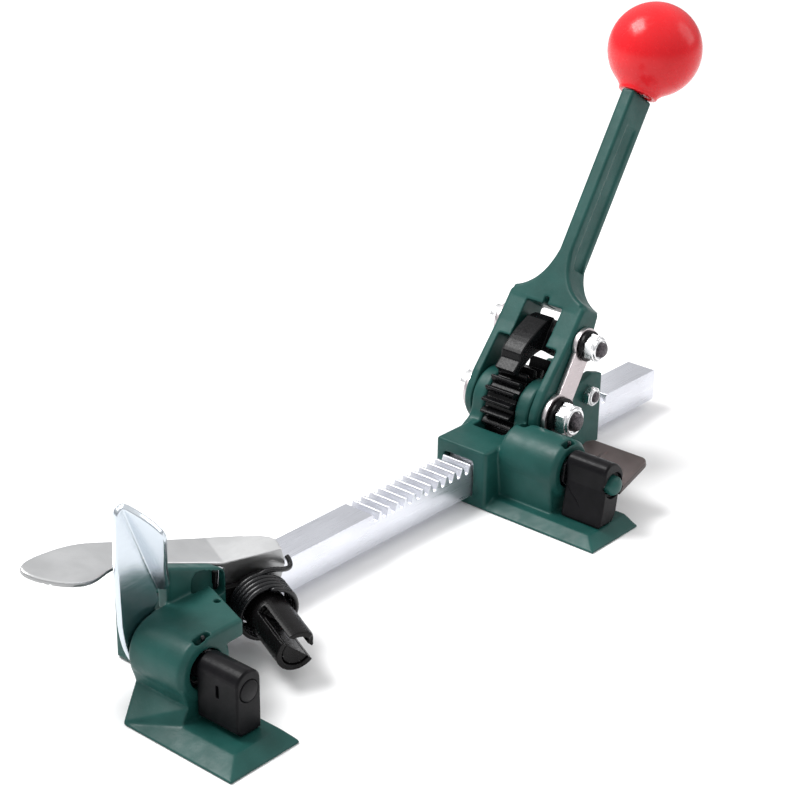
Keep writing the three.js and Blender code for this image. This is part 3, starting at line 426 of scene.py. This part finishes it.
def gripper_steel():
    """Hardened, near-black gripper steel with bare grey edges."""
    finish = Finish("gripper_steel", (0.004, 0.004, 0.005), 0.34, shine=0.12)
    tint = finish.ramp(finish.noise(7, 3), 0.35, 0.7)
    body = finish.mix(tint, (0.003, 0.003, 0.0038), (0.006, 0.0055, 0.0068))
    worn = finish.maths("MULTIPLY", finish.edges(0.55, 0.63), 0.35)
    finish.link(finish.mix(worn, body, (0.16, 0.15, 0.16)), "Base Color")
    finish.link(finish.ramp(finish.noise(1.4, 3), 0.3, 0.7, 0.28, 0.44), "Roughness")
    finish.bumps((finish.noise(4, 3), 0.03), (finish.noise(0.7, 2), 0.006))
    return finish.material


def black_oxide(name="black_oxide", warm=0.0):
    """Oiled black oxide on the gear, pawls and cutter sleeve."""
    dark = (0.003 + 0.002 * warm, 0.003 + 0.001 * warm, 0.0035)
    light = (0.006 + 0.002 * warm, 0.006 + 0.001 * warm, 0.007)
    finish = Finish(name, dark, 0.24, shine=0.14)
    body = finish.mix(finish.ramp(finish.noise(5, 4), 0.35, 0.7), dark, light)
    worn = finish.maths("MULTIPLY", finish.edges(0.57, 0.66), 0.45)
    finish.link(finish.mix(worn, body, (0.22, 0.22, 0.22)), "Base Color")
    finish.link(finish.ramp(finish.noise(1.2, 3), 0.3, 0.7, 0.2, 0.36), "Roughness")
    finish.bumps((finish.noise(4, 2), 0.012), (finish.noise(0.8, 2), 0.002))
    return finish.material


def spring_wire():
    """Black oiled spring wire with fine draw marks."""
    finish = Finish("spring_wire", (0.006, 0.006, 0.007), 0.22, shine=0.4)
    marks = finish.noise(0.6, 3)
    share = finish.ramp(marks, 0.4, 0.7)
    finish.link(finish.mix(share, (0.004, 0.004, 0.005), (0.010, 0.010, 0.012)), "Base Color")
    finish.link(finish.ramp(marks, 0.3, 0.7, 0.2, 0.36), "Roughness")
    finish.bumps((marks, 0.002))
    return finish.material


def dark_thread():
    """Dark cut thread and bolt ends."""
    finish = Finish("dark_thread", (0.06, 0.052, 0.058), 0.4, metallic=0.8)
    marks = finish.ramp(finish.noise(1.0, 3), 0.4, 0.7)
    finish.link(finish.mix(marks, (0.05, 0.044, 0.05), (0.15, 0.135, 0.145)), "Base Color")
    finish.bumps((finish.noise(0.7, 3), 0.03))
    return finish.material


def red_plastic():
    """Glossy moulded red plastic with a hint of flow lines and soft scuffs."""
    finish = Finish("red_plastic", (0.64, 0.009, 0.014), 0.28, shine=0.3)
    finish.set("Subsurface Weight", 0.05)
    finish.set("Subsurface Radius", (0.004, 0.001, 0.001))
    flow = finish.ramp(finish.noise(18, 3, (1, 1, 0.4)), 0.35, 0.7)
    finish.link(finish.mix(flow, (0.63, 0.009, 0.014), (0.70, 0.014, 0.021)), "Base Color")
    scuffs = finish.noise(2.5, 4)
    finish.link(finish.ramp(scuffs, 0.45, 0.75, 0.2, 0.34), "Roughness")
    finish.bumps((finish.noise(7, 2), 0.04), (finish.noise(0.6, 2), 0.004))
    return finish.material


MATERIALS = {
    "paint": cast_paint(),
    "ground": ground_steel(),
    # the last number of each plated sheet sets the tone of the painted shade on its upright faces
    "thumb": plated_sheet("thumb_zinc", (0.72, 0.77, 0.82), (0.58, 0.63, 0.68), 0.2, 1.0),
    "paddle": plated_sheet("paddle_zinc", (0.78, 0.785, 0.79), (0.66, 0.665, 0.67), 0.34, 0.5),
    "link": plated_sheet("link_zinc", (0.70, 0.635, 0.65), (0.55, 0.49, 0.50), 0.3, 0.9),
    "release": plated_sheet("release_zinc", (0.16, 0.137, 0.134), (0.115, 0.098, 0.096), 0.34, 0.7),
    "fastener": plated_fastener(),
    "gripper": gripper_steel(),
    "black": black_oxide(),
    "warm_black": black_oxide("warm_black_oxide", 0.4),
    "spring": spring_wire(),
    "thread": dark_thread(),
    "red": red_plastic(),
}


def crisp(mesh, degrees):
    """The mesh with hard shading across edges steeper than the angle."""
    mesh.set_sharp_from_angle(angle=math.radians(degrees))
    return mesh


def finish_piece(mesh, *names):
    """Gives the mesh its materials, in slot order."""
    mesh.materials.clear()
    for name in names:
        mesh.materials.append(MATERIALS[name])
    return mesh


def stand_for(node, mesh, *materials):
    """A finer piece in place of one CAD node, on the same body."""
    finish_piece(mesh, *materials)
    return add_piece(node + "_fine", mesh, body_of(node), [node])


# ---------------------------------------------------------------- castings, grippers and pressed levers
def filleted_parts():
    castings = (("foot_casting", 0.55), ("carriage_casting", 0.55), ("handle_casting", 0.5))
    for node, voxel in castings:
        stand_for(node, filleted(node, voxel, 9), "paint")
    stand_for("fixed_gripper", filleted("fixed_gripper", 0.3, 5), "gripper")
    stand_for("carriage_gripper", filleted("carriage_gripper", 0.3, 5), "gripper")
    stand_for("thumb_lever", filleted("thumb_lever", 0.4, 4), "thumb")
    stand_for("release_lever", filleted("release_lever", 0.35, 4), "release", "black")
    blacken_release_hub()
    stand_for("drive_gear", filleted("drive_gear", 0.28, 3), "black")
    stand_for("drive_pawl", filleted("drive_pawl", 0.3, 5), "black")
    stand_for("holding_pawl", filleted("holding_pawl", 0.3, 4), "black")
    stand_for("cutter_sleeve", filleted("cutter_sleeve", 0.32, 3), "warm_black")
    stand_for("cutter_core", filleted("cutter_core", 0.32, 3), "warm_black")
    stand_for("cutter_lever", filleted("cutter_lever", 0.4, 4), "paddle")


def blacken_release_hub():
    """The lever's disc round the shaft is oiled black; its arm is bare plate."""
    mesh = bpy.data.objects["release_lever_fine"].data
    axis = point(CARRIAGE_SHAFT_X, 0, SHAFT_Z)
    for face in mesh.polygons:
        away = math.hypot(face.center.x - axis.x, face.center.z - axis.z)
        if away < RELEASE_DISC * MM:
            face.material_index = 1


def machined_parts():
    stand_for("rack_bar", bevelled("rack_bar", 0.3), "ground")
    for node in ("link_plate_near", "link_plate_far"):
        stand_for(node, bevelled(node, 0.5, 35), "link")
    for node in ("gear_washer", "pawl_washer"):
        stand_for(node, bevelled(node, 0.35, 35), "black")
    for node in ("bar_lock_pin", "cutter_bracket_pin"):
        stand_for(node, bevelled(node, 0.4, 35), "black")
    stand_for("gear_bush", bevelled("gear_bush", 0.3, 35), "fastener")
    stand_for("fixed_gripper_shaft", bevelled("fixed_gripper_shaft", 0.5, 35), "gripper")
    stand_for("carriage_gripper_pin", bevelled("carriage_gripper_pin", 0.2, 50), "paint")


# ---------------------------------------------------------------- fasteners
def hexagon(across_flats):
    """The reach of a hexagon, flats up and down, at an angle."""
    apothem = across_flats / 2

    def reach(angle):
        folded = (angle + TAU / 12) % (TAU / 6) - TAU / 12
        return apothem / math.cos(folded)

    return reach


def lock_nut_rows(across_flats, bore, thickness):
    """A hexagon with turned corners, its round collar crimped over the insert, facing +Z."""
    corner = across_flats / math.sqrt(3)
    collar = across_flats / 2 - 0.45
    hex_top = thickness * 0.8
    body = [
        (bore, 0.3),
        (across_flats / 2 - 0.2, 0),
        (across_flats / 2 + 0.1, 0.05),
        (corner + 0.1, 0.75),
        (corner + 0.1, hex_top - 0.9),
        (across_flats / 2 + 0.15, hex_top - 0.1),
        (collar + 0.25, hex_top),
        (collar, hex_top + 0.15),
    ]
    rounding = 1
    top = thickness - rounding
    for i in range(7):
        angle = TAU / 4 * i / 6
        body.append((collar - rounding * (1 - math.cos(angle)), top + rounding * math.sin(angle)))
    body.append((bore + 0.9, thickness - 0.1))
    body.append((bore + 0.5, thickness - 0.7))
    body.append((bore, thickness - 0.9))
    return turned(body, 96, hexagon(across_flats))


def threaded_rows(radius, pitch, length, lead=0.8):
    """A cut thread along +Z with a chamfered end."""
    depth = 0.6 * pitch
    steps = max(8, int(length / pitch * 8))
    rows = []
    for i in range(steps + 1):
        height = length * i / steps
        row = []
        for j in range(40):
            turn = j / 40
            phase = (height / pitch + turn) % 1
            reach = radius - depth * abs(2 * phase - 1)
            reach = min(reach, radius - depth - 0.3 + (length - height) / lead * (depth + 0.3))
            row.append(Vector((reach * math.cos(TAU * turn), reach * math.sin(TAU * turn), height)))
        rows.append(row)
    return rows


def hex_head_rows(across_flats, thickness):
    corner = across_flats / math.sqrt(3)
    flat = across_flats / 2
    profile = [
        (flat - 0.6, 0),
        (corner + 0.1, 0.15),
        (corner + 0.1, thickness - 1.1),
        (flat + 0.1, thickness - 0.3),
        (flat - 0.4, thickness),
        (flat - 1.4, thickness),
        (flat - 1.8, thickness - 0.25),
    ]
    return turned(profile, 96, hexagon(across_flats))


def fastener(kind, place, radius, pitch, across_flats, nut, end, head, head_thickness):
    """A bolt along Y, its head on the far side, its lock nut and threaded end on the near side.

    nut is (far face, near face), end is the bolt's near end and head the seat of its head, in y."""
    x, z = place
    near = Vector((0, -1, 0))
    nut_rows = placed(
        lock_nut_rows(across_flats, radius + 0.05, nut[0] - nut[1]),
        axis_matrix(point(x, nut[0], z), near),
    )
    nut_mesh = crisp(grid_mesh(kind + "_nut_mesh", nut_rows, closed_rows=True), 12)
    stand_for(kind + "_nut", nut_mesh, "fastener")
    shank = turned([(radius - 0.4, 0), (radius, 0.4), (radius, head - nut[0])], 40)
    shank_mesh = grid_mesh("shank", placed(shank, axis_matrix(point(x, nut[0], z), -near)))
    thread = placed(
        threaded_rows(radius, pitch, nut[0] - end), axis_matrix(point(x, nut[0], z), near)
    )
    thread_mesh = grid_mesh("thread", thread)
    head_place = axis_matrix(point(x, head, z), -near)
    head_rows = placed(hex_head_rows(across_flats, head_thickness), head_place)
    bolt = joined(kind + "_bolt_mesh", [shank_mesh, thread_mesh, grid_mesh("head", head_rows)])
    crisp(bolt, 50)
    finish_piece(bolt, "fastener", "thread")
    edge = point(0, nut[0] + 0.02, 0).y
    for face in bolt.polygons:
        if face.center.y < edge:
            face.material_index = 1
    add_piece(kind + "_bolt_fine", bolt, body_of(kind + "_bolt"), [kind + "_bolt"])


def fasteners():
    m10 = {"radius": 5, "pitch": 1.5, "across_flats": 16, "head_thickness": 6.4}
    m8 = {"radius": 4, "pitch": 1.25, "across_flats": 13, "head_thickness": 5.3}
    m6 = {"radius": 3, "pitch": 1.0, "across_flats": 10, "head_thickness": 4}
    fastener("gear", GEAR_AT, nut=(-29.8, -37.8), end=-40, head=27.4, **m10)
    fastener("pawl", along_handle(PAWL_PIN, 0), nut=(-29.8, -36.4), end=-38.4, head=27.4, **m8)
    fastener("holding", HOLDING_AT, nut=(-15.1, -20.1), end=-20.9, head=15.1, **m6)


# ---------------------------------------------------------------- springs
def coil(centre_of, radius, start, turns, first, last, steps_per_turn=40):
    """Points of a coil about a part's own Y axis, placed by centre_of((x, y, z) in millimetres)."""
    count = int(abs(turns) * steps_per_turn)
    path = []
    for i in range(count + 1):
        share = i / count
        angle = start + TAU * turns * share
        y = first + (last - first) * share
        path.append(centre_of((radius * math.cos(angle), y, radius * math.sin(angle))))
    return path


def rounded_path(corners, steps=10):
    """A smooth path through corner points."""
    path = []
    ends = [2 * corners[0] - corners[1], *corners, 2 * corners[-1] - corners[-2]]
    for before, first, second, after in zip(ends, ends[1:], ends[2:], ends[3:]):
        for i in range(steps):
            t = i / steps
            path.append(
                0.5
                * (
                    2 * first
                    + (second - before) * t
                    + (2 * before - 5 * first + 4 * second - after) * t**2
                    + (3 * first - before - 3 * second + after) * t**3
                )
            )
    path.append(corners[-1])
    return path


def gripper_spring(node, x, boss_near):
    """The return spring in a boss: two coils and a leg standing up in the slit."""

    def place(p):
        return point(x + p[0], p[1], SHAFT_Z + p[2])

    first = boss_near + 2.2
    coil_radius = 7.6
    coils = coil(place, coil_radius, TAU / 4, 2, first + 3.6, first)
    leg = [place(p) for p in ((0, first, 9.4), (0.2, first, 12), (0.2, first, 15.1))]
    path = coils[:-1] + rounded_path([coils[-1], *leg], 6)
    stand_for(node, wire_mesh(node + "_mesh", path, 0.9), "spring")


def cutter_spring():
    turn = cutter_matrix()

    def place(p):
        return turn @ (Vector(p) * MM)

    coils = coil(place, 13.4, TAU / 4, -5, -17.2, -5)
    leg = [(4, -4.9, 14.5), (8, -4.9, 14.2), (12, -4.6, 12.9), (15.4, -3, 11.6)]
    leg += [(17.2, -1.2, 11.6), (17.6, 1, 12.8), (17.3, 3.2, 13.6)]
    path = coils[:-1] + rounded_path([coils[-1], *[place(p) for p in leg]], 8)
    stand_for("cutter_spring", wire_mesh("cutter_spring_mesh", path, 1.2), "spring")


def pawl_spring():
    """The drive pawl's spring: two coils on its hub, with both legs towards the gear."""

    def place(p):
        x, z = along_handle(PAWL_PIN + p[0], p[2])
        return point(x, p[1], z)

    radius, near, far, leg = 6.2, 7.6, 10.4, 6
    coils = coil(place, radius, -TAU / 4, 2, near, far)
    first = [place((-leg, near, -radius)), place((-1, near, -radius))]
    last = [place((-1, far, -radius)), place((-leg, far, -radius))]
    path = first + coils + last
    stand_for("drive_pawl_spring", wire_mesh("drive_pawl_spring_mesh", path, 0.75), "spring")


# ---------------------------------------------------------------- ball and stud
def ball_knob():
    """The moulded ball: a sphere on a short skirt, with a lip and a socket."""
    centre, radius, foot, lip = BALL["centre"], BALL["radius"], BALL["foot"], BALL["lip"]
    profile = [(3.6, foot + 4), (3.6, foot + 0.8), (4.2, foot + 0.2), (lip - 0.9, foot)]
    profile += [(lip - 0.2, foot + 0.25), (lip + 0.1, foot + 0.9), (lip + 0.2, foot + 1.6)]
    profile += [(lip + 0.9, foot + 2.6), (lip + 2.1, foot + 4)]
    start = math.radians(-52)  # where the sphere leaves the skirt
    steps = 60
    for i in range(steps):
        angle = start + (TAU / 4 - start) * i / steps
        profile.append((radius * math.cos(angle), centre + radius * math.sin(angle)))
    profile.append((0.15, centre + radius))
    x, z = along_handle(0, 0)
    axis = (math.cos(HANDLE_LEAN), 0, math.sin(HANDLE_LEAN))
    rows = placed(turned(profile, 96), axis_matrix(point(x, 0, z), axis))
    stand_for("ball_knob", grid_mesh("ball_knob_mesh", rows), "red")


def handle_stud():
    radius, pitch, length = 3, 1, 38
    x, z = along_handle(158, 0)
    axis = (math.cos(HANDLE_LEAN), 0, math.sin(HANDLE_LEAN))
    rows = placed(threaded_rows(radius, pitch, length), axis_matrix(point(x, 0, z), axis))
    stand_for("handle_stud", grid_mesh("handle_stud_mesh", rows), "thread")


# ---------------------------------------------------------------- studio
def floor():
    mesh = bpy.data.meshes.new("floor_mesh")
    half = 8
    z = -0.0003
    corners = [(-half, -half, z), (half, -half, z), (half, half, z), (-half, half, z)]
    mesh.from_pydata(corners, [], [(0, 1, 2, 3)])
    ground = bpy.data.objects.new("floor", mesh)
    bpy.context.scene.collection.objects.link(ground)
    finish = Finish("floor_paper", (0.93, 0.93, 0.93), 0.9)
    finish.link(finish.mix(finish.noise(40, 2), (0.925, 0.925, 0.93), (0.94, 0.94, 0.94)), "Base Color")
    mesh.materials.append(finish.material)


def softbox(name, place, aim, size, power):
    light = bpy.data.lights.new(name, "AREA")
    light.shape = "RECTANGLE"
    light.size = size[0]
    light.size_y = size[1]
    light.energy = power
    lamp = bpy.data.objects.new(name, light)
    lamp.location = place
    lamp.rotation_mode = "QUATERNION"
    lamp.rotation_quaternion = (Vector(aim) - Vector(place)).to_track_quat("-Z", "Y")
    bpy.context.scene.collection.objects.link(lamp)


def studio_light():
    aim = (0.15, 0, 0.05)
    softbox("key_light", (-0.3, 0.75, 1.5), aim, (0.9, 0.7), 30)
    softbox("side_light", (1.3, -0.9, 0.9), aim, (0.7, 1.0), 4)
    world = bpy.data.worlds.new("studio")
    bpy.context.scene.world = world
    world.use_nodes = True
    nodes = world.node_tree.nodes
    links = world.node_tree.links
    background = nodes["Background"]
    direction = nodes.new("ShaderNodeTexCoord").outputs["Generated"]
    split = nodes.new("ShaderNodeSeparateXYZ")
    links.new(direction, split.inputs[0])
    ramp = nodes.new("ShaderNodeValToRGB")
    links.new(split.outputs["Z"], ramp.inputs[0])
    ramp.color_ramp.elements[0].position = 0.0
    ramp.color_ramp.elements[0].color = (0.40, 0.41, 0.43, 1)
    ramp.color_ramp.elements[1].position = 0.7
    ramp.color_ramp.elements[1].color = (1, 1, 1, 1)
    links.new(ramp.outputs["Color"], background.inputs["Color"])
    background.inputs["Strength"].default_value = 0.88


def camera():
    """The photograph's viewpoint: a long lens from the front left, a little rolled."""
    place = Vector((-0.49427, -0.56514, 0.46479))
    aim = Vector((0.1674, 0, 0.0719))
    forward = (aim - place).normalized()
    level = forward.cross(Vector((0, 0, 1))).normalized()
    up = level.cross(forward)
    roll = math.radians(0.93)
    right = level * math.cos(roll) + up * math.sin(roll)
    up = right.cross(forward)
    turn = Matrix((right, up, -forward)).transposed().to_4x4()
    turn.translation = place
    data = bpy.data.cameras.new("photo_camera")
    data.sensor_width = 36
    data.lens = 88.65
    data.clip_start = 0.01
    data.clip_end = 50
    view = bpy.data.objects.new("photo_camera", data)
    view.matrix_world = turn
    bpy.context.scene.collection.objects.link(view)
    bpy.context.scene.camera = view
    bpy.context.scene.view_settings.view_transform = "Standard"


filleted_parts()
machined_parts()
fasteners()
gripper_spring("fixed_gripper_spring", 0, -53)
gripper_spring("carriage_gripper_spring", CARRIAGE_SHAFT_X, -53.5)
cutter_spring()
pawl_spring()
ball_knob()
handle_stud()
floor()
studio_light()
camera()
